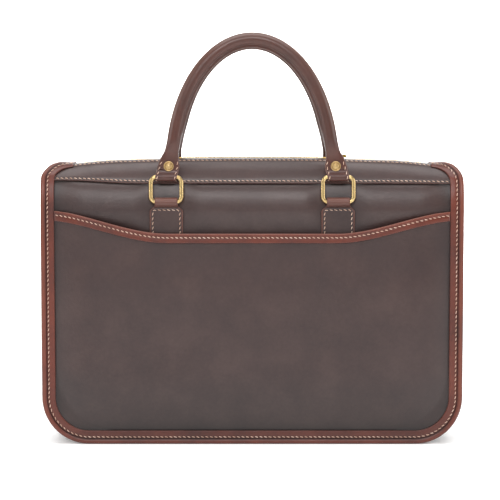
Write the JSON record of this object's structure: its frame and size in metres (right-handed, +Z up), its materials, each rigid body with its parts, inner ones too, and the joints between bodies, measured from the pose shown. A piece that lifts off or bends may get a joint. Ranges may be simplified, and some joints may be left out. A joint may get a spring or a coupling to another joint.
{
  "type": "leather document case",
  "caption": "Slim leather document case with bound edges, a scooped front pocket, a zip along the top and rolled carrying handles on brass rings.",
  "frame": {"origin": "centre of the case's box on the surface that it stands on", "axes": "+Z up, the pocket side faces -Y, +X to the viewer's right along the case's width"},
  "size_m": [0.4, 0.0834, 0.39],
  "materials": {
    "panel_leather": "dark brown oiled leather, satin",
    "binding_leather": "reddish brown leather, satin",
    "handle_leather": "mid brown rolled leather, satin",
    "zip_fabric": "woven zip tape",
    "brass": "lightly aged brass"
  },
  "bodies": {
    "case": {"front_panel": "panel_leather", "back_panel": "panel_leather", "front_top_strip": "panel_leather", "back_top_strip": "panel_leather", "front_pocket": "panel_leather", "pocket_binding": "binding_leather", "gusset": "panel_leather", "front_binding": "binding_leather", "back_binding": "binding_leather", "zip_tape": "zip_fabric", "zip_teeth": "brass", "zip_slider": "brass", "front_left_tab": "panel_leather", "front_right_tab": "panel_leather", "back_left_tab": "panel_leather", "back_right_tab": "panel_leather"},
    "front_grip": {"front_handle": "handle_leather", "front_left_ring": "brass", "front_right_ring": "brass", "front_left_rivet": "brass", "front_right_rivet": "brass"},
    "back_grip": {"back_handle": "handle_leather", "back_left_ring": "brass", "back_right_ring": "brass", "back_left_rivet": "brass", "back_right_rivet": "brass"}
  },
  "joints": [
    {"name": "front_handle_swing", "type": "hinge", "parent": "case", "child": "front_grip", "pos_m": [0, -0.03408, 0.231], "axis": [1, 0, 0], "range_deg": [-8, 160]},
    {"name": "back_handle_swing", "type": "hinge", "parent": "case", "child": "back_grip", "pos_m": [0, 0.03732, 0.231], "axis": [-1, 0, 0], "range_deg": [-8, 170]}
  ]
}
